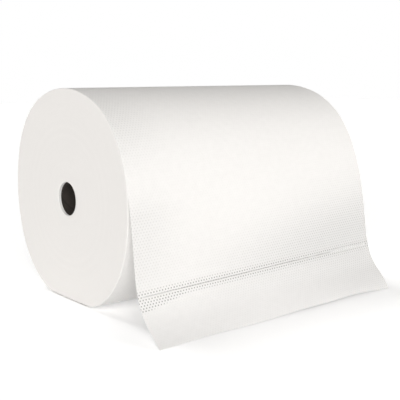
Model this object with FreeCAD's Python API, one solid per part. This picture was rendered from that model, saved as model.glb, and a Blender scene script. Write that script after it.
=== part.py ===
"""Nonwoven wipe roll: one long white web wound on a cardboard core, lying on its side.

Frame: X runs along the core, +Z is up, and the loose end of the web hangs down towards -Y.
The origin is the middle of the core's bore. All sizes are in millimetres.
An angle round the roll is that of the surface's normal: 0 at the front (-Y), 90 on top.
"""
import FreeCAD, Part
import os
from math import cos, sin, radians, floor

V = FreeCAD.Vector

# Web
web_width = 380.0          # along the core
web_thickness = 0.5
roll_radius = 138.5        # halfway between the roll's flatter sides and its fuller corners
out_of_round = 2.2         # the soft roll has settled towards a rounded square
flat_spot = 6.7            # how deep the roll's own weight has pressed its lowest turns flat
end_bevel = 2.4            # the outermost turns give way at both ends of the roll

# Turns that stand back a little on the end faces
ring_radii = (62.0, 104.0)
ring_width = 0.9
ring_depth = 0.4

# Cardboard core
core_bore = 38.0
core_wall = 2.1
core_recess = 3.0          # each end of the core lies this far inside the web

# Loose end of the web
lap_angle = 54.0           # the outermost turn comes up out of the roll here
lap_rise = 6.0             # and this many degrees further down it stands clear on the turn below
web_sink = 0.2             # how deep it is bedded in that turn
leave_angle_near = 13.0    # where the web leaves the roll, at its -X edge
leave_angle_far = 43.0     # and at its +X edge, where it is looser
hang_near = 12.0           # how far it hangs off the roll's front, at hang_height
hang_far = 23.5
hang_height = 92.0
flare_near = 38.0          # and where it has flared out, at flare_height
flare_far = 48.5
flare_height = 30.0
reach_near = 88.0          # from the roll's front to the free edge
reach_far = 80.0
edge_dip_near = 26.0       # how steeply the free edge comes down on the floor, in degrees
edge_dip_far = 50.0
tail_skew = 21.0           # the web has run off this much towards -X at its free edge

# Tear line across the loose end: a row of short slits in a straight strip
tear_back = 71.0           # from the free edge to the row, measured along the web
tear_strip = 5.0
slit_length = 2.4
slit_width = 1.1
slit_pitch = 4.0
slit_margin = 5.0          # bare web at each end of the row

ARC = 45.0                 # the roll's outline is eight arcs: a flatter and a fuller one in turn
FULL_TURN = 360.0
LAPPED_COUNT = 6           # points down each long edge where it lies on the roll
LOOSE_COUNT = 24           # and where it hangs free
UPPER_COUNT = 12           # stations of the ruled sheet above the tear strip
LOWER_COUNT = 6            # and below it


def section_point(angle, inset=0.0, mean=roll_radius, x=0.0, side=None):
    """Point on the outline of a turn. Inner turns are rounder than outer ones."""
    swell = out_of_round * (mean / roll_radius) ** 2
    shift = 2 * swell / (2 - 1 / (2 ** 0.5 * sin(radians(ARC / 2))))
    side = round(angle / ARC) if side is None else side
    centre = shift if side % 2 else -shift
    radius = (mean + swell if side % 2 else mean - swell) - centre - inset
    middle, normal = radians(side * ARC), radians(angle)
    return V(x,
             -centre * cos(middle) - radius * cos(normal),
             centre * sin(middle) + radius * sin(normal))


def outline(start, stop, inset=0.0, mean=roll_radius, x=0.0):
    """The arcs of a turn's outline from one angle to another."""
    arcs = []
    while start < stop:
        side = floor((start + ARC / 2) / ARC)
        bend = min((side + 0.5) * ARC, stop)
        along = [section_point(a, inset, mean, x, side) for a in (start, (start + bend) / 2, bend)]
        arcs.append(Part.Arc(*along).toShape())
        start = bend
    return arcs


axis_height = -section_point(-90).z - flat_spot
roll_front = -section_point(0).y
core_outer = core_bore / 2 + core_wall
half_width = web_width / 2


def turn_face(x, mean=roll_radius, inset=0.0):
    return Part.Face(Part.Wire(outline(-ARC / 2, FULL_TURN - ARC / 2, inset, mean, x)))


def end_rings():
    """Shallow sinks on both end faces, where a turn stands back."""
    rings = []
    for mean in ring_radii:
        for x, depth in ((-half_width, ring_depth), (half_width, -ring_depth)):
            ring = turn_face(x, mean, -ring_width / 2).cut(turn_face(x, mean, ring_width / 2))
            rings.append(ring.extrude(V(depth, 0, 0)))
    return rings


def wound_roll():
    """The wound turns: bevelled ends, a flat spot below and a hole for the core."""
    roll = turn_face(-half_width).extrude(V(web_width, 0, 0))
    rims = [e for e in roll.Edges if e.BoundBox.XLength < end_bevel]
    roll = roll.makeChamfer(end_bevel, rims)
    deep = 2 * roll_radius
    below = Part.makeBox(web_width, 2 * deep, deep, V(-half_width, -deep, -axis_height - deep))
    hole = Part.makeCylinder(core_outer, web_width, V(-half_width, 0, 0), V(1, 0, 0))
    return roll.cut([below, hole] + end_rings())


def spaced(start, stop, count):
    return [start + (stop - start) * i / (count - 1) for i in range(count)]


def edge_path(leave_angle, hang, flare, reach, dip):
    """One long edge of the web, in the YZ plane: out of the roll, down its front, off to the floor."""
    proud = web_thickness - web_sink
    clear_angles = spaced(lap_angle - lap_rise, leave_angle, LAPPED_COUNT)
    lapped = [section_point(a, -proud) for a in clear_angles]
    leaving = V(0, -sin(radians(leave_angle)), -cos(radians(leave_angle)))
    landing = V(0, -cos(radians(dip)), -sin(radians(dip)))
    loose = Part.BSplineCurve()
    loose.interpolate(Points=[lapped[-1],
                              V(0, -roll_front - hang, hang_height - axis_height),
                              V(0, -roll_front - flare, flare_height - axis_height),
                              V(0, -roll_front - reach, web_thickness - axis_height)],
                      InitialTangent=leaving, FinalTangent=landing)
    rising = section_point(lap_angle, web_sink)
    path = Part.BSplineCurve()
    path.interpolate(Points=[rising] + lapped[:-1] + loose.discretize(Number=LOOSE_COUNT))
    return path


def web_edge(x, leave_angle, hang, flare, reach, dip):
    """Points down one long edge, on the web's outer and inner side: UPPER_COUNT of them down to
    the tear strip and LOWER_COUNT below it."""
    path = edge_path(leave_angle, hang, flare, reach, dip)
    length = path.length()
    tear = length - tear_back
    leave = roll_radius * radians(lap_angle - leave_angle)
    outer, inner = [], []
    runs = spaced(0, tear - tear_strip / 2, UPPER_COUNT)
    runs += spaced(tear + tear_strip / 2, length, LOWER_COUNT)
    for run in runs:
        u = path.parameterAtDistance(run)
        point, along = path.value(u), V(*path.tangent(u)[0])
        fall = max(0.0, (run - leave) / (length - leave))
        point.x = x - tail_skew * fall ** 2
        outer.append(point)
        inner.append(point + V(0, -along.z, along.y) * web_thickness)
    return outer, inner


def edge_of(points):
    if len(points) == 2:
        return Part.makeLine(*points)
    curve = Part.BSplineCurve()
    curve.interpolate(Points=points)
    return curve.toShape()


def loose_web(near, far):
    """The lapped layer and the tail as one thin sheet, ruled between its two long edges."""
    strips = []
    for first, last in ((0, UPPER_COUNT), (UPPER_COUNT - 1, UPPER_COUNT + 1), (UPPER_COUNT, None)):
        corners = [edge_of(side[first:last]) for side in (near[0], far[0], far[1], near[1])]
        strips += [Part.makeRuledSurface(corners[i], corners[i - 1]) for i in range(4)]
    for i in (0, -1):
        strips.append(Part.makeRuledSurface(Part.makeLine(near[0][i], far[0][i]),
                                            Part.makeLine(near[1][i], far[1][i])))
    shell = Part.Shell(strips)
    shell.sewShape()
    sheet = Part.Solid(shell)
    if sheet.Volume < 0:
        sheet.reverse()
    return sheet.cut(tear_slits(near[0], far[0]))


def tear_slits(near, far):
    """A row of slits right through the web, along the middle of the tear strip."""
    start, stop = [(side[UPPER_COUNT - 1] + side[UPPER_COUNT]) / 2 for side in (near, far)]
    line = stop - start
    across = V(line).normalize()
    near_up, far_up = [side[UPPER_COUNT - 1] - side[UPPER_COUNT] for side in (near, far)]
    count = int((line.Length - 2 * slit_margin - slit_length) / slit_pitch) + 1
    first = (line.Length - (count - 1) * slit_pitch) / 2
    deep = 8 * web_thickness
    slits = []
    for i in range(count):
        share = (first + i * slit_pitch) / line.Length
        up = near_up * (1 - share) + far_up * share
        slit = Part.makeBox(slit_length, slit_width, deep, V(-slit_length, -slit_width, -deep) / 2)
        slit.Placement = FreeCAD.Placement(start + line * share,
                                           FreeCAD.Rotation(across, up, across.cross(up), "XYZ"))
        slits.append(slit)
    return slits


def wipe_web():
    near = web_edge(-half_width, leave_angle_near, hang_near, flare_near, reach_near, edge_dip_near)
    far = web_edge(half_width, leave_angle_far, hang_far, flare_far, reach_far, edge_dip_far)
    return wound_roll().fuse(loose_web(near, far))


def cardboard_core():
    length = web_width - 2 * core_recess
    start = V(-length / 2, 0, 0)
    outside = Part.makeCylinder(core_outer, length, start, V(1, 0, 0))
    return outside.cut(Part.makeCylinder(core_bore / 2, length, start, V(1, 0, 0)))


os.makedirs("parts", exist_ok=True)
for name, make in (("wipe_web", wipe_web), ("cardboard_core", cardboard_core)):
    shape = make()
    print(name, "solids:", len(shape.Solids), "valid:", shape.isValid(), "mm3:", round(shape.Volume))
    shape.exportStep(f"parts/{name}.step")
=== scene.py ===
"""Looks of the nonwoven wipe roll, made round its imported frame.

Metres; X runs along the core and +Z is up. An angle round the roll is that of the surface's
normal: 0 at the front (-Y), 90 on top. The web is laid out flat first: across it from -X to +X,
and along it from the free edge to its start.
"""
import math

import bpy
import numpy as np
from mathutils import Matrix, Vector


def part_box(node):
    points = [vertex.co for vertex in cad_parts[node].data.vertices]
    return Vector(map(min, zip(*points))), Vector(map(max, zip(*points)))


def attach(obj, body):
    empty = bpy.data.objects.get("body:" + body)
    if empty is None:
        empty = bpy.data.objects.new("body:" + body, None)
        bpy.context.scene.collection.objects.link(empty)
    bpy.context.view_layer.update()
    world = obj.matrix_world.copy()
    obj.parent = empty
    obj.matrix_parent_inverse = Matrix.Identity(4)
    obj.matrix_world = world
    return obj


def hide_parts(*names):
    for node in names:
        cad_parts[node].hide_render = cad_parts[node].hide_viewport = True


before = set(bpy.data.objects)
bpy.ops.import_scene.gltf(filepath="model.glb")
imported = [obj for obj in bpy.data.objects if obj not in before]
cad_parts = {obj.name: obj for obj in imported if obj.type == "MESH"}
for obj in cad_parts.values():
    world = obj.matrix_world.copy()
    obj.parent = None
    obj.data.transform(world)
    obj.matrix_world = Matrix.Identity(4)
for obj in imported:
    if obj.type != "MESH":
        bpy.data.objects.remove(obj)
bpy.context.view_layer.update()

web_low, web_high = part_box("wipe_web")
core_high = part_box("cardboard_core")[1]
MM = 0.001
NEAR = 0.1 * MM            # close enough to count as the same place
ARC = 45                   # the roll's outline is eight arcs: a flatter and a fuller one in turn

# Roll, from the frame
floor_height = web_low.z
half_width = web_high.x
out_of_round = 2.2 * MM
roll_radius = web_high.z + out_of_round
roll_front = web_high.y
tail_skew = -web_low.x - half_width
web_thickness = 0.5 * MM

# Roll, finish of its ends
rim_radius = 0.6 * MM
turn_steps = 27            # groups of turns on each end face
turn_shift = 0.07 * MM     # how far a group stands out or back
end_ripple = 0.08 * MM
mouth_radius = 0.3 * MM    # round the hole for the core
pressed_ease = 2.5 * MM    # rounding where the flat spot meets the roll

# Core
core_outer = core_high.z
core_half = core_high.x
core_wall = 2.1 * MM
tube_rounding = 0.45 * MM
seam_pitch = 75 * MM       # of the seam that winds round the board

# Loose end: where it leaves the roll, how it hangs and how it flares, at its two long edges
leave_near, leave_far = 13.0, 43.0
hang_near, hang_far, hang_height = 12 * MM, 23.5 * MM, 92 * MM
flare_near, flare_far, flare_height = 38 * MM, 48.5 * MM, 30 * MM
reach_near = -web_low.y - roll_front
reach_far = reach_near - 8 * MM
dip_near, dip_far = 22.0, 60.0
wrap_start = 298.0         # the outermost turn begins here, under the roll
rim_free, rim_held = 43.0, 52.0    # its edges stand free below the first and are held above
rim_turn = 60.0            # and there they turn this far round the roll's rims
start_fade = 12.0          # degrees over which its start beds down on the turn beneath
waves = ((0.9, 5.1, 2.2, 0.6), (0.5, 11.3, -3.1, 2.0), (0.25, 23.0, 5.0, 0.0))
# Each wave: mm high, how it turns across and along in radians, and where it starts.
lifts = ((2.6, 0.20, 0.18), (3.6, 0.58, 0.17), (4.7, 0.83, 0.13))
# Each lift of the free edge: mm high, where its middle is across the web, and how wide it is.
lift_sunk, lift_reach = 0.75, 45 * MM      # mm kept down, and how far the lifts run up the web
shade_reach = 20 * MM      # painted shade: so far from the turn behind it the web is painted as one layer with shade behind
shade_gap = 6 * MM         # and painted shade makes its -X edge a little greyer from this gap on
laid_height = 45 * MM      # painted light: below this it is painted paler, as if lit by the floor behind it

# Tear line
tear_back = 71 * MM
slit_length, slit_width, slit_pitch = 2.4 * MM, 1.1 * MM, 4.0 * MM
slit_count = 92
dot_rows = 3.2 * MM        # from one row of the staggered pattern to the next
dots_below, dots_above = 5, 2      # rows pressed in on each side of the slits
dot_border = dot_depth = 0.22 * MM
off_the_band = 1.0         # added along the wound turns' own map, to keep the tear line off them

# Mesh
roll_sides, tube_sides = 192, 96
wound_degrees = 0.25       # between points of the web's line where it is wound
curve_steps = 40           # points of that line between two of its stops
read_over = 0.6 * MM       # the web's direction is read over this, both ways
rim_columns = (0, 0.7, 1.4, 2.2, 3.0, 3.8, 5.2)      # mm from each long edge
smooth_angle = 40          # faces that meet at less than this, in degrees, shade as one
pressed_gap = 2 * MM       # plain rows of faces on both sides of the pressed band
below_step, above_step, wound_step = 4.5 * MM, 5 * MM, 8.5 * MM     # rows of faces along the web
SEED = 7


# ---------- Blender's tools ----------

def deselect():
    bpy.ops.object.select_all(action="DESELECT")


def work_on(piece):
    """Selects one piece alone and makes it the active one."""
    deselect()
    piece.select_set(True)
    bpy.context.view_layer.objects.active = piece


def newest(name):
    """The piece that was just added, with its name."""
    piece = bpy.context.active_object
    piece.name = name
    piece.data.name = name
    return piece


def edit(piece, kind, chosen, *steps):
    """Runs edit-mode steps on the chosen vertices, edges or faces of a piece."""
    work_on(piece)
    mesh = piece.data
    for name, parts in (("VERT", mesh.vertices), ("EDGE", mesh.edges), ("FACE", mesh.polygons)):
        marks = chosen if name == kind else np.zeros(len(parts), bool)
        parts.foreach_set("select", marks)
    bpy.context.tool_settings.mesh_select_mode = [name == kind for name in ("VERT", "EDGE", "FACE")]
    bpy.ops.object.mode_set(mode="EDIT")
    for step in steps:
        step()
    bpy.ops.object.mode_set(mode="OBJECT")


def points_of(mesh):
    flat = np.zeros(len(mesh.vertices) * 3)
    mesh.vertices.foreach_get("co", flat)
    return flat.reshape(-1, 3)


def put_points(mesh, points):
    mesh.vertices.foreach_set("co", points.ravel())
    mesh.update()


def face_values(mesh, what):
    flat = np.zeros(len(mesh.polygons) * 3)
    mesh.polygons.foreach_get(what, flat)
    return flat.reshape(-1, 3)


def edge_points(mesh):
    ends = np.zeros(len(mesh.edges) * 2, int)
    mesh.edges.foreach_get("vertices", ends)
    return points_of(mesh)[ends.reshape(-1, 2)]


def round_edges(mesh):
    """Each edge's distances from the core's axis at both ends, and how far it runs along X."""
    ends = edge_points(mesh)
    return np.hypot(ends[:, :, 1], ends[:, :, 2]), np.ptp(ends[:, :, 0], axis=1)


def own_map(mesh, across, along):
    """Writes the web's own map: metres across and along it, from the tear line's first slit."""
    corners = np.zeros(len(mesh.loops), int)
    mesh.loops.foreach_get("vertex_index", corners)
    layer = mesh.uv_layers.get("web_map") or mesh.uv_layers.new(name="web_map")
    layer.data.foreach_set("uv", np.stack([across[corners], along[corners]], 1).ravel())
    for other in [o for o in mesh.uv_layers if o.name != "web_map"]:
        mesh.uv_layers.remove(other)


def point_values(mesh, name, values):
    layer = mesh.attributes.new(name, "FLOAT", "POINT")
    layer.data.foreach_set("value", values.astype(np.float32))


def apply_modifier(piece, kind, **settings):
    work_on(piece)
    modifier = piece.modifiers.new(kind.title(), kind)
    for key, value in settings.items():
        setattr(modifier, key, value)
    bpy.ops.object.modifier_apply(modifier=modifier.name)


def smooth(piece):
    work_on(piece)
    bpy.ops.object.shade_smooth_by_angle(angle=math.radians(smooth_angle))


def outward():
    """Merges doubled points and turns all faces outwards."""
    bpy.ops.mesh.select_all(action="SELECT")
    bpy.ops.mesh.remove_doubles(threshold=1e-6)
    bpy.ops.mesh.normals_make_consistent(inside=False)


def join_rims():
    """Bridges the open rims left at the two ends of a tube."""
    bpy.ops.mesh.select_all(action="DESELECT")
    bpy.ops.mesh.select_mode(type="EDGE")
    bpy.ops.mesh.select_non_manifold()
    bpy.ops.mesh.bridge_edge_loops()


def new_cylinder(name, sides, radius, length):
    """A closed cylinder along X, with its middle at the origin."""
    deselect()
    bpy.ops.mesh.primitive_cylinder_add(vertices=sides, radius=radius, depth=length,
                                        rotation=(0, math.pi / 2, 0))
    bpy.ops.object.transform_apply(rotation=True)
    return newest(name)


def hollow(cylinder, inset):
    """Insets both ends of a cylinder, opens them and joins their rims by the wall of the hole."""
    for side in (-1, 1):
        normals = face_values(cylinder.data, "normal")
        centres = face_values(cylinder.data, "center")
        cap = (normals[:, 0] * side > 0.9) & (np.hypot(centres[:, 1], centres[:, 2]) < NEAR)
        edit(cylinder, "FACE", cap, inset, lambda: bpy.ops.mesh.delete(type="FACE"))
    edit(cylinder, "VERT", np.zeros(len(cylinder.data.vertices), bool), join_rims)


# ---------- Shape of the roll ----------

def section(angle, inset=0.0, mean=None):
    """Outline of a turn at these angles: y and z. Inner turns are rounder than outer ones."""
    mean = roll_radius if mean is None else mean
    swell = out_of_round * (mean / roll_radius) ** 2
    shift = 2 * swell / (2 - 1 / (math.sqrt(2) * math.sin(math.radians(ARC / 2))))
    side = np.round(np.asarray(angle) / ARC)
    odd = side % 2 == 1
    centre = np.where(odd, shift, -shift)
    radius = np.where(odd, mean + swell, mean - swell) - centre - inset
    middle, normal = np.radians(side * ARC), np.radians(angle)
    return (-centre * np.cos(middle) - radius * np.cos(normal),
            centre * np.sin(middle) + radius * np.sin(normal))


def eased_max(first, second):
    """The larger of two values, with a rounded corner where they cross."""
    return (first + second + np.hypot(first - second, pressed_ease)) / 2


def press_flat(y, z, turn):
    """Presses the lowest turns flat, the outer ones most, down to just above the floor."""
    rest = floor_height + web_thickness
    outline = np.hypot(*section(np.degrees(np.arctan2(z, -y))))
    ratio = np.clip(-rest / (outline * np.maximum(-z / np.hypot(y, z), 1e-6)), 0, 1)
    give = 1 - (1 - ratio) * (turn / roll_radius) ** 4
    return y * give, eased_max(z * give, rest)


def end_groups(randoms):
    """Insets the selected end face again and again, each group of turns a little out or back."""
    depth = roll_radius - core_outer
    widths = randoms.uniform(0.6, 1.4, turn_steps)
    widths[0] = widths.max()
    shifts = randoms.uniform(-1, 1, turn_steps) * turn_shift
    shifts[0] = 0
    for width, shift in zip(widths / widths.sum() * depth, np.diff(shifts, prepend=0)):
        bpy.ops.mesh.inset(thickness=width, depth=shift)


def make_wound_roll():
    """The wound turns inside the outermost one, with their edges showing on both end faces."""
    randoms = np.random.default_rng(SEED)
    roll = new_cylinder("wound_roll", roll_sides, roll_radius, 2 * half_width)
    hollow(roll, lambda: end_groups(randoms))
    radii, run = round_edges(roll.data)
    rims = (radii.min(1) > roll_radius - NEAR) & (run < 10 * NEAR)
    edit(roll, "EDGE", rims, lambda: bpy.ops.mesh.bevel(offset=rim_radius, segments=5))
    radii, run = round_edges(roll.data)
    mouths = (radii.max(1) < core_outer + 2 * NEAR) & (run < NEAR)
    edit(roll, "EDGE", mouths,
         lambda: bpy.ops.mesh.bevel(offset=mouth_radius, segments=2), outward)
    mesh = roll.data
    points = points_of(mesh)
    angle = np.degrees(np.arctan2(points[:, 2], -points[:, 1]))
    turn = np.hypot(points[:, 1], points[:, 2])
    under = 0.9 * web_thickness * np.clip((turn - core_outer) / (roll_radius - core_outer), 0, 1)
    y, z = section(angle, under, turn)
    on_end = np.clip((np.abs(points[:, 0]) - half_width + rim_radius) / rim_radius, 0, 1)
    ripple = np.sin(np.radians(angle) * 2 + turn * 90) * end_ripple
    points[:, 0] += np.sign(points[:, 0]) * ripple * on_end
    points[:, 1], points[:, 2] = press_flat(y, z, turn)
    put_points(mesh, points)
    own_map(mesh, points[:, 0], np.radians(angle) * roll_radius + off_the_band)
    point_values(mesh, "turn", turn)
    # Painted shade on the wall of the hole's mouth, next to the core.
    point_values(mesh, "unshaded", np.where(turn < core_outer + 2 * NEAR, 0.2, 1.0))
    smooth(roll)
    return roll


# ---------- Shape of the outermost turn and the loose end ----------

def clamped_curve(stops, first, last):
    """Smooth line through four stops, with its direction given at both ends."""
    stops = np.asarray(stops)
    gaps = np.linalg.norm(np.diff(stops, axis=0), axis=1)
    slopes = np.diff(stops, axis=0) / gaps[:, None]
    a, b, c = gaps
    matrix = np.array([[2 * (a + b), a], [c, 2 * (b + c)]])
    right = np.array([3 * (b * slopes[0] + a * slopes[1]) - b * first,
                      3 * (c * slopes[1] + b * slopes[2]) - b * last])
    tangents = np.vstack([first, np.linalg.solve(matrix, right), last])
    line = []
    for i, span in enumerate(gaps):
        t = np.linspace(0, 1, curve_steps, endpoint=False)[:, None]
        line.append((1 + 2 * t) * (1 - t) ** 2 * stops[i] + t * (1 - t) ** 2 * span * tangents[i]
                    + t * t * (3 - 2 * t) * stops[i + 1] + t * t * (t - 1) * span * tangents[i + 1])
    return np.vstack(line + [stops[-1:]])


def web_line(share):
    """The web's line in Y and Z from its start to its free edge, at a share of its width.

    With it go the angle round the roll at each point, and which point leaves the roll.
    """
    near = (leave_near, hang_near, flare_near, reach_near, dip_near)
    far = (leave_far, hang_far, flare_far, reach_far, dip_far)
    leave, hang, flare, reach, dip = [n + (f - n) * share for n, f in zip(near, far)]
    angles = np.arange(wrap_start, leave, -wound_degrees)
    sunk = 1.2 * web_thickness * np.clip((angles - wrap_start + start_fade) / start_fade, 0, 1)
    y, z = section(angles, sunk)
    wound = np.stack([y, eased_max(z, floor_height)], 1)
    start = np.array(section(leave))
    free = clamped_curve(
        [start,
         (-roll_front - hang, floor_height + hang_height),
         (-roll_front - flare, floor_height + flare_height),
         (-roll_front - reach, floor_height + web_thickness)],
        np.array([-math.sin(math.radians(leave)), -math.cos(math.radians(leave))]),
        np.array([-math.cos(math.radians(dip)), -math.sin(math.radians(dip))]))
    line = np.vstack([wound, free])
    return line, np.concatenate([angles, np.full(len(free), leave)]), len(wound)


def spans(start, stop, step):
    """Places from start up to, but not at, stop, as near to this step as fits."""
    count = max(1, round((stop - start) / step))
    return list(np.linspace(start, stop, count, endpoint=False))


def web_columns():
    """Places across the web, with both ends of every slit among them."""
    first = -half_width + (2 * half_width - (slit_count - 1) * slit_pitch) / 2
    centres = first + slit_pitch * np.arange(slit_count)
    slits = np.sort(np.concatenate([centres - slit_length / 2, centres + slit_length / 2]))
    rim = -half_width + np.array(rim_columns) * MM
    return np.concatenate([rim, slits, -rim[::-1]]), centres


def web_rows(length):
    """Places along the web from its free edge, with both sides of each row of dots among them."""
    half = slit_width / 2
    band = np.concatenate([[tear_back + dot_rows * k - half, tear_back + dot_rows * k + half]
                           for k in range(-dots_below, dots_above + 1)])
    below = spans(0, band[0] - pressed_gap, below_step) + [band[0] - pressed_gap]
    loose = length - math.radians(wrap_start - leave_far) * roll_radius
    above = spans(band[-1] + pressed_gap, loose, above_step)
    wound = spans(loose, length, wound_step)
    return np.concatenate([below, band, above, wound, [length]])


def flat_sheet(columns, rows):
    """The web laid out flat, with its columns and rows of points at these places."""
    deselect()
    bpy.ops.mesh.primitive_grid_add(x_subdivisions=len(columns) - 1, y_subdivisions=len(rows) - 1,
                                    size=2)
    sheet = newest("loose_turn")
    points = points_of(sheet.data)
    i = np.rint((points[:, 0] + 1) / 2 * (len(columns) - 1)).astype(int)
    j = np.rint((points[:, 1] + 1) / 2 * (len(rows) - 1)).astype(int)
    points[:, 0], points[:, 1] = columns[i], rows[j]
    put_points(sheet.data, points)
    return sheet


def punch(sheet, slit_centres):
    """Cuts the row of slits, and presses in the staggered rows of dots beside it."""
    def in_row(row, centres):
        middles = face_values(sheet.data, "center")
        near_row = np.abs(middles[:, 1] - tear_back - row * dot_rows) < slit_width / 4
        gap = np.abs(middles[:, 0][:, None] - centres[None, :]).min(1)
        return near_row & (gap < 3 * NEAR)

    edit(sheet, "FACE", in_row(0, slit_centres), lambda: bpy.ops.mesh.delete(type="FACE"))
    between = slit_centres[:-1] + slit_pitch / 2
    for row in [r for r in range(dots_above, -dots_below - 1, -1) if r]:
        centres = between if row % 2 else slit_centres
        edit(sheet, "FACE", in_row(row, centres),
             lambda: bpy.ops.mesh.inset(thickness=dot_border, depth=-dot_depth,
                                        use_individual=True))


def wind_on(columns, lines, runs, across, along, length):
    """Carries flat places to the web's lines, each between the two columns it lies in.

    Gives their points, the web's normals there, their angles round the roll, and how far they
    have fallen: 0 where the web leaves the roll, 1 at its free edge.
    """
    order = np.clip(np.searchsorted(columns, across, side="right") - 1, 0, len(columns) - 2)
    part = (across - columns[order]) / (columns[order + 1] - columns[order])
    share, nudge = 1 - along / length, read_over / length
    placed = np.zeros((len(across), 3))
    ahead = np.zeros((len(across), 3))
    angle = np.zeros(len(across))
    fall = np.zeros(len(across))
    for k, ((line, angles, wound), run) in enumerate(zip(lines, runs)):
        for chosen, weight in ((order == k, 1 - part), (order == k - 1, part)):
            if not chosen.any():
                continue
            at = share[chosen] * run[-1]
            on = np.clip(share[chosen] + nudge, 0, 1) * run[-1]
            back = np.clip(share[chosen] - nudge, 0, 1) * run[-1]
            w = weight[chosen]
            for axis in (0, 1):
                placed[chosen, axis + 1] += np.interp(at, run, line[:, axis]) * w
                ahead[chosen, axis + 1] += (np.interp(on, run, line[:, axis])
                                            - np.interp(back, run, line[:, axis])) * w
            angle[chosen] += np.interp(at, run, angles) * w
            fall[chosen] += np.clip((at - run[wound]) / (run[-1] - run[wound]), 0, 1) * w
    ahead /= np.linalg.norm(ahead, axis=1)[:, None]
    normal = np.stack([np.zeros(len(across)), ahead[:, 2], -ahead[:, 1]], 1)
    return placed, normal, angle, fall


def rounded_rims(across, angle):
    """How far the web's edges turn in and down where they are wound on the roll's round rims."""
    held = np.clip((angle - rim_free) / (rim_held - rim_free), 0, 1)
    held = held * held * (3 - 2 * held)
    reach = rim_radius * math.radians(rim_turn)
    turned = np.clip(np.abs(across) - half_width + reach, 0, reach) / rim_radius
    shrink = (turned - np.sin(turned)) * rim_radius
    drop = (1 - np.cos(turned)) * rim_radius
    return np.sign(across) * shrink * held, drop * held


def clear_of_roll(points):
    """How far points are outside the roll's outline, along the line from the core's axis."""
    edge_y, edge_z = section(np.arange(-180, 181, 0.5))
    bearing = np.arctan2(points[:, 2], -points[:, 1])
    outline = np.interp(bearing, np.arctan2(edge_z, -edge_y), np.hypot(edge_y, edge_z))
    return np.maximum(np.hypot(points[:, 1], points[:, 2]) - outline, 0)


def make_loose_turn():
    """The outermost turn and the loose end, one sheet: laid out flat, punched, then wound on."""
    columns, slit_centres = web_columns()
    lines = [web_line((u + half_width) / (2 * half_width)) for u in columns]
    runs = [np.concatenate([[0], np.cumsum(np.linalg.norm(np.diff(line, axis=0), axis=1))])
            for line, _, _ in lines]
    length = float(np.mean([run[-1] for run in runs]))
    sheet = flat_sheet(columns, web_rows(length))
    punch(sheet, slit_centres)

    mesh = sheet.data
    flat = points_of(mesh)
    across, along, rise = flat[:, 0].copy(), flat[:, 1].copy(), flat[:, 2].copy()
    placed, normal, angle, fall = wind_on(columns, lines, runs, across, along, length)
    turned_in, drop = rounded_rims(across, angle)
    placed[:, 0] = across - turned_in - tail_skew * fall ** 2

    # Slack: the hanging part is never quite flat, and its free edge lifts here and there.
    u = (across + half_width) / (2 * half_width)
    slack = fall * (1 - fall) * 4
    wave = sum(high * np.sin(a * u + b * fall + c) for high, a, b, c in waves) * MM
    placed += normal * (rise + slack * wave - drop)[:, None]
    lift = sum(high * np.exp(-((u - middle) / wide) ** 2) for high, middle, wide in lifts)
    lift = np.maximum(lift - lift_sunk, 0) * MM
    placed[:, 2] += lift * np.clip(1 - along / lift_reach, 0, 1) ** 2
    placed[:, 2] = np.maximum(placed[:, 2], floor_height)
    put_points(mesh, placed)
    own_map(mesh, across - slit_centres[0], along - tear_back)

    # How much web lies behind each place and how close it lies to the floor: painted shade where
    # little lies behind, painted light near the floor.
    gap = clear_of_roll(placed)
    # Painted shade in the gap behind the web's -X edge.
    gap_shade = 0.4 * np.exp(-(u / 0.15) ** 2) * np.clip(gap / shade_gap, 0, 1)
    point_values(mesh, "unshaded", np.exp(-(gap * u / shade_reach) ** 2) * (1 - gap_shade))
    height = np.maximum(placed[:, 2] - floor_height, 0)
    # Painted shade: less painted floor light towards the +X end.
    far_end_shade = 0.5 * np.clip((u - 0.5) / 0.5, 0, 1)
    point_values(mesh, "laid", np.exp(-(height / laid_height) ** 2) * (1 - far_end_shade))
    point_values(mesh, "turn", np.full(len(placed), roll_radius))
    apply_modifier(sheet, "SOLIDIFY", thickness=web_thickness, offset=-1, use_even_offset=True)
    smooth(sheet)
    return sheet, length


# ---------- Shape of the core ----------

def make_core_tube():
    """Wound board tube, with its edges a little rounded."""
    tube = new_cylinder("core_tube", tube_sides, core_outer, 2 * core_half)
    hollow(tube, lambda: bpy.ops.mesh.inset(thickness=core_wall))
    rims = np.abs(edge_points(tube.data)[:, :, 0]).min(1) > core_half - NEAR
    rims &= np.ptp(round_edges(tube.data)[0], axis=1) < NEAR
    edit(tube, "EDGE", rims,
         lambda: bpy.ops.mesh.bevel(offset=tube_rounding, segments=3), outward)
    smooth(tube)
    return tube


# ---------- Shared effects ----------

def make_group(name, inputs, outputs):
    group = bpy.data.node_groups.new(name, "ShaderNodeTree")
    for way, sockets in (("INPUT", inputs), ("OUTPUT", outputs)):
        for label, kind, value in sockets:
            socket = group.interface.new_socket(label, in_out=way, socket_type="NodeSocket" + kind)
            if value is not None:
                socket.default_value = value
    given = group.nodes.new("NodeGroupInput").outputs
    return group, given, group.nodes.new("NodeGroupOutput").inputs


def add(tree, kind, inputs=(), **settings):
    """Adds a node with its settings, and its inputs as links or plain values."""
    node = tree.nodes.new("ShaderNode" + kind)
    for key, value in settings.items():
        setattr(node, key, value)
    for key, value in dict(inputs).items():
        if isinstance(value, bpy.types.NodeSocket):
            tree.links.new(value, node.inputs[key])
        else:
            node.inputs[key].default_value = value
    return node


def maths(tree, operation, *values):
    return add(tree, "Math", enumerate(values), operation=operation).outputs[0]


def weighted(tree, first, share, second, other_share):
    """Sum of two values, each times its share."""
    return maths(tree, "ADD", maths(tree, "MULTIPLY", first, share),
                 maths(tree, "MULTIPLY", second, other_share))


def from_middle(tree, value, shift=0.0):
    """How far a repeating value is from the middle of its cell."""
    return maths(tree, "SUBTRACT", maths(tree, "FRACT", maths(tree, "ADD", value, shift)), 0.5)


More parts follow.
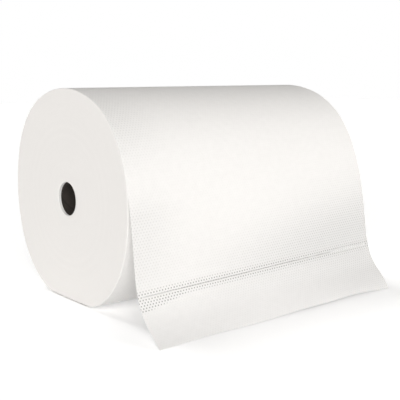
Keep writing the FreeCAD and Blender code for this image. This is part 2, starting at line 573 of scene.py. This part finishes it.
def staggered_dots():
    """Mask of a staggered pattern of small round dots, on a vector in metres."""
    group, given, out = make_group(
        "staggered_dots",
        [("Vector", "Vector", None), ("Across", "Float", slit_pitch), ("Rows", "Float", dot_rows),
         ("Size", "Float", 0.2)],
        [("Mask", "Float", None)])
    place = add(group, "SeparateXYZ", {"Vector": given["Vector"]}).outputs
    two_rows = maths(group, "MULTIPLY", given["Rows"], 2.0)
    ratio = maths(group, "DIVIDE", two_rows, given["Across"])
    a = maths(group, "DIVIDE", place["X"], given["Across"])
    b = maths(group, "DIVIDE", place["Y"], two_rows)
    nearest = []
    for shift in (0.5, 0.0):
        from_a = from_middle(group, a, shift)
        from_b = maths(group, "MULTIPLY", from_middle(group, b, shift), ratio)
        square = maths(group, "ADD", maths(group, "MULTIPLY", from_a, from_a),
                       maths(group, "MULTIPLY", from_b, from_b))
        nearest.append(maths(group, "SQRT", square))
    outer, inner = [maths(group, "MULTIPLY", given["Size"], share) for share in (1.5, 0.6)]
    mask = add(group, "MapRange", {"Value": maths(group, "MINIMUM", *nearest),
                                   "From Min": outer, "From Max": inner},
               interpolation_type="SMOOTHSTEP")
    group.links.new(mask.outputs["Result"], out["Mask"])
    return group


def fibre_web():
    """Fine tangled fibres: a height for the bump, and a tone from thin places to thick."""
    group, given, out = make_group(
        "fibre_web",
        [("Vector", "Vector", None), ("Fineness", "Float", 900.0), ("Clouds", "Float", 120.0)],
        [("Height", "Float", None), ("Tone", "Float", None)])
    drawn = add(group, "VectorMath", {0: given["Vector"], 1: (1.0, 0.45, 1.0)},
                operation="MULTIPLY").outputs[0]
    fibres = add(group, "TexNoise", {"Vector": drawn, "Scale": given["Fineness"], "Detail": 3.0,
                                     "Roughness": 0.65, "Distortion": 1.2}).outputs["Fac"]
    clouds = add(group, "TexNoise", {"Vector": given["Vector"], "Scale": given["Clouds"],
                                     "Detail": 4.0, "Roughness": 0.6}).outputs["Fac"]
    group.links.new(fibres, out["Height"])
    group.links.new(weighted(group, fibres, 0.35, clouds, 0.65), out["Tone"])
    return group


def colour_mix(tree, factor, first, second, blend="MIX"):
    """Mix of two colours; either may be a link."""
    node = tree.nodes.new("ShaderNodeMix")
    node.data_type, node.blend_type = "RGBA", blend
    for place, value in ((0, factor), (6, first), (7, second)):
        socket = node.inputs[place]
        if isinstance(value, bpy.types.NodeSocket):
            tree.links.new(value, socket)
        else:
            socket.default_value = value
    return node.outputs[2]


def new_material(name, **constants):
    material = bpy.data.materials.new(name)
    material.use_nodes = True
    tree = material.node_tree
    shader = tree.nodes["Principled BSDF"]
    for key, value in constants.items():
        shader.inputs[key.replace("_", " ")].default_value = value
    return material, tree, shader


def ranged(tree, value, low, high, to_low, to_high):
    """The value, taken from one range to another."""
    return add(tree, "MapRange", {"Value": value, "From Min": low, "From Max": high,
                                  "To Min": to_low, "To Max": to_high}).outputs["Result"]


def placed_group(tree, group, vector, **values):
    """Outputs of a shared effect laid on these coordinates, with its own values."""
    node = add(tree, "Group", node_tree=group)
    tree.links.new(vector, node.inputs["Vector"])
    for key, value in values.items():
        node.inputs[key].default_value = value
    return node.outputs


def toned(tree, colour, value, low, high, darkest):
    """The colour, darker where the value is low."""
    tone = ranged(tree, value, low, high, darkest, 1.0)
    shade = add(tree, "CombineColor", {0: tone, 1: tone, 2: tone}).outputs[0]
    return colour_mix(tree, 1.0, colour, shade, "MULTIPLY")


def finish_surface(tree, shader, colour, height, strength, distance):
    """Links a colour and a bump to the shader."""
    bump = add(tree, "Bump", {"Height": height, "Strength": strength, "Distance": distance})
    tree.links.new(colour, shader.inputs["Base Color"])
    tree.links.new(bump.outputs["Normal"], shader.inputs["Normal"])


STACKED = (0.865, 0.857, 0.843, 1)     # web with more web behind it
SHADED_SINGLE = (0.70, 0.70, 0.695, 1)        # painted shade: one layer with nothing lit close behind it
FLOOR_LIT_LAYER = (0.965, 0.96, 0.95, 1)          # painted light: one layer lit from the pale floor under it
SHADED_DOT = (0.30, 0.295, 0.285, 1)         # painted shade seen through a pressed dot in one layer
ENDS = (0.86, 0.845, 0.825, 1)
# Board colours far darker than real board: painted shade inside the bore. The seam is a real dark
# joint.
SHADED_BOARD_DARK, SHADED_BOARD_PALE = (0.016, 0.012, 0.0095, 1), (0.030, 0.023, 0.019, 1)
SHADED_BOARD_SEAM = (0.009, 0.007, 0.0055, 1)


def web_face_material(dots, fibres):
    """Face of the web: fibres, pressed dots, painted shade where nothing lies behind it and painted
    light near the floor.
    """
    material, tree, shader = new_material("web_face", Roughness=0.92, Sheen_Weight=0.06)
    place = add(tree, "UVMap", uv_map="web_map").outputs["UV"]
    unshaded = add(tree, "Attribute", attribute_name="unshaded").outputs["Fac"]
    laid = add(tree, "Attribute", attribute_name="laid").outputs["Fac"]
    mask = placed_group(tree, dots, place, Size=0.20)["Mask"]
    grain = placed_group(tree, fibres, place)
    parts = add(tree, "SeparateXYZ", {"Vector": place}).outputs
    # The dots are deepest in the band at the tear line, which is wider near the -X edge.
    reach = ranged(tree, parts["X"], 0.0, 60 * MM, 16 * MM, 5 * MM)
    below = ranged(tree, maths(tree, "ADD", parts["Y"], reach), -3 * MM, 0.0, 0.0, 1.0)
    above = ranged(tree, parts["Y"], 5 * MM, 8 * MM, 1.0, 0.0)
    band = maths(tree, "MULTIPLY", below, above)
    # The pressed dots are real; their dark colour is painted shade, strongest where nothing lies
    # behind and in the tear line's band.
    seen = maths(tree, "MULTIPLY", ranged(tree, unshaded, 0.2, 0.95, 0.45, 0.03),
                 ranged(tree, laid, 0.0, 0.8, 1.0, 0.15))
    strength = maths(tree, "MAXIMUM", seen, maths(tree, "MULTIPLY", band, 0.9))
    dot = maths(tree, "MULTIPLY", mask, strength)
    # Painted shade where little web lies behind, painted light where it lies near the floor.
    layer = colour_mix(tree, laid, colour_mix(tree, unshaded, SHADED_SINGLE, STACKED), FLOOR_LIT_LAYER)
    colour = toned(tree, colour_mix(tree, dot, layer, SHADED_DOT), grain["Tone"], 0.3, 0.7, 0.955)
    depth = maths(tree, "MULTIPLY", mask, ranged(tree, band, 0.0, 1.0, 0.3, 1.0))
    fibre_height = maths(tree, "MULTIPLY", grain["Height"], 0.35)
    height = maths(tree, "SUBTRACT", fibre_height, depth)
    finish_surface(tree, shader, colour, height, 0.4, 0.22 * MM)
    return material


def turn_edges_material(fibres):
    """End face: the edges of the turns, packed side by side."""
    material, tree, shader = new_material("web_turn_edges", Roughness=0.95, Sheen_Weight=0.05)
    turn = add(tree, "Attribute", attribute_name="turn").outputs["Fac"]
    fine, broad = [add(tree, "TexNoise", {"W": maths(tree, "MULTIPLY", turn, density), "Scale": 1.0,
                                          "Detail": detail}, noise_dimensions="1D").outputs["Fac"]
                   for density, detail in ((1500.0, 2.0), (170.0, 3.0))]
    grain = placed_group(tree, fibres, add(tree, "TexCoord").outputs["Object"])
    lines = weighted(tree, fine, 0.5, broad, 0.5)
    colour = toned(tree, ENDS, weighted(tree, lines, 0.6, grain["Tone"], 0.4), 0.35, 0.65, 0.975)
    height = maths(tree, "ADD", lines, maths(tree, "MULTIPLY", grain["Height"], 0.5))
    finish_surface(tree, shader, colour, height, 0.3, 0.2 * MM)
    return material


def core_material(fibres):
    """Wound board, darkened as painted shade inside the bore, with the seam of its outer ply
    running round it as a helix.
    """
    material, tree, shader = new_material("core_board", Roughness=0.85)
    place = add(tree, "TexCoord").outputs["Object"]
    parts = add(tree, "SeparateXYZ", {"Vector": place}).outputs
    round_it = maths(tree, "DIVIDE", maths(tree, "ARCTAN2", parts["Z"], parts["Y"]), 2 * math.pi)
    along_it = maths(tree, "DIVIDE", parts["X"], seam_pitch)
    helix = from_middle(tree, maths(tree, "ADD", round_it, along_it))
    seam = ranged(tree, maths(tree, "ABSOLUTE", helix), 0.0, 0.02, 1.0, 0.0)
    grain = placed_group(tree, fibres, place, Fineness=1400.0)
    pale = ranged(tree, grain["Tone"], 0.3, 0.7, 0.0, 1.0)
    board = colour_mix(tree, pale, SHADED_BOARD_DARK, SHADED_BOARD_PALE)
    colour = colour_mix(tree, seam, board, SHADED_BOARD_SEAM)
    height = maths(tree, "SUBTRACT", maths(tree, "MULTIPLY", grain["Height"], 0.4), seam)
    finish_surface(tree, shader, colour, height, 0.5, 0.3 * MM)
    return material


# ---------- Pieces ----------

dots, fibres = staggered_dots(), fibre_web()
web_face = web_face_material(dots, fibres)
turn_edges = turn_edges_material(fibres)
board = core_material(fibres)

wound_roll = make_wound_roll()
wound_roll.data.materials.append(web_face)
wound_roll.data.materials.append(turn_edges)
normals = face_values(wound_roll.data, "normal")
wound_roll.data.polygons.foreach_set("material_index", (np.abs(normals[:, 0]) > 0.75).astype(int))

loose_turn, web_length = make_loose_turn()
loose_turn.data.materials.append(web_face)

core_tube = make_core_tube()
core_tube.data.materials.append(board)

for piece, node, slot in ((wound_roll, "wipe_web", "web"), (loose_turn, "wipe_web", "web"),
                          (core_tube, "cardboard_core", "core")):
    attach(piece, "root")
    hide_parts(node)

# ---------- Floor, light and camera ----------

deselect()
bpy.ops.mesh.primitive_plane_add(size=12, location=(0, 0, floor_height))
floor = newest("pale_floor")
floor_paint, tree, shader = new_material("floor_paint", Roughness=0.9)
shader.inputs["Base Color"].default_value = (0.9, 0.9, 0.9, 1)
shader.inputs["Emission Color"].default_value = (1, 1, 1, 1)
room_light = 0.11          # what the floor and the world give off
floor_seen = 0.29          # what the floor shows to the camera
seen_directly = add(tree, "LightPath").outputs["Is Camera Ray"]
glow = ranged(tree, seen_directly, 0.0, 1.0, room_light, floor_seen)
tree.links.new(glow, shader.inputs["Emission Strength"])
floor.data.materials.append(floor_paint)

world = bpy.data.worlds.new("studio")
bpy.context.scene.world = world
world.use_nodes = True
tree = world.node_tree
tree.nodes.clear()
seen = add(tree, "Background", {"Color": (1, 1, 1, 1), "Strength": 1.0})
lit = add(tree, "Background", {"Color": (1, 1, 1, 1), "Strength": room_light})
pick = add(tree, "MixShader", {0: add(tree, "LightPath").outputs["Is Camera Ray"]})
tree.links.new(lit.outputs[0], pick.inputs[1])
tree.links.new(seen.outputs[0], pick.inputs[2])
tree.links.new(pick.outputs[0], add(tree, "OutputWorld").inputs["Surface"])

floor_only = bpy.data.collections.new("floor_only")
floor_only.objects.link(floor)


def soft_light(name, bearing, height, strength, tint=(1, 1, 1), width=50, only=None):
    """Wide lamp far off: its bearing from -Y round towards +X, its height and width, in degrees."""
    light = bpy.data.lights.new(name, "SUN")
    light.energy, light.angle, light.color = strength, math.radians(width), tint
    lamp = bpy.data.objects.new(name, light)
    bpy.context.scene.collection.objects.link(lamp)
    bearing, height = math.radians(bearing), math.radians(height)
    towards = Vector((math.sin(bearing) * math.cos(height), -math.cos(bearing) * math.cos(height),
                      math.sin(height)))
    lamp.rotation_euler = towards.to_track_quat("Z", "Y").to_euler()
    lamp.light_linking.receiver_collection = only


soft_light("key", -40, 20, 2.76, (1.0, 0.98, 0.96))
soft_light("side", 75, 20, 1.12, (1.0, 0.985, 0.965))
soft_light("floor_back", 180, 52, 1.18, width=20, only=floor_only)

camera = bpy.data.objects.new("camera", bpy.data.cameras.new("camera"))
bpy.context.scene.collection.objects.link(camera)
camera_height, looks_down, turned_right = 0.2863, 0.1576, 0.6731     # metres, radians, radians
camera.location = (-0.6811, -0.8803, floor_height + camera_height)
camera.rotation_euler = (math.pi / 2 - looks_down, 0, -turned_right)
camera.data.lens, camera.data.sensor_width = 73.05, 36
bpy.context.scene.camera = camera
bpy.context.scene.view_settings.view_transform = "Standard"
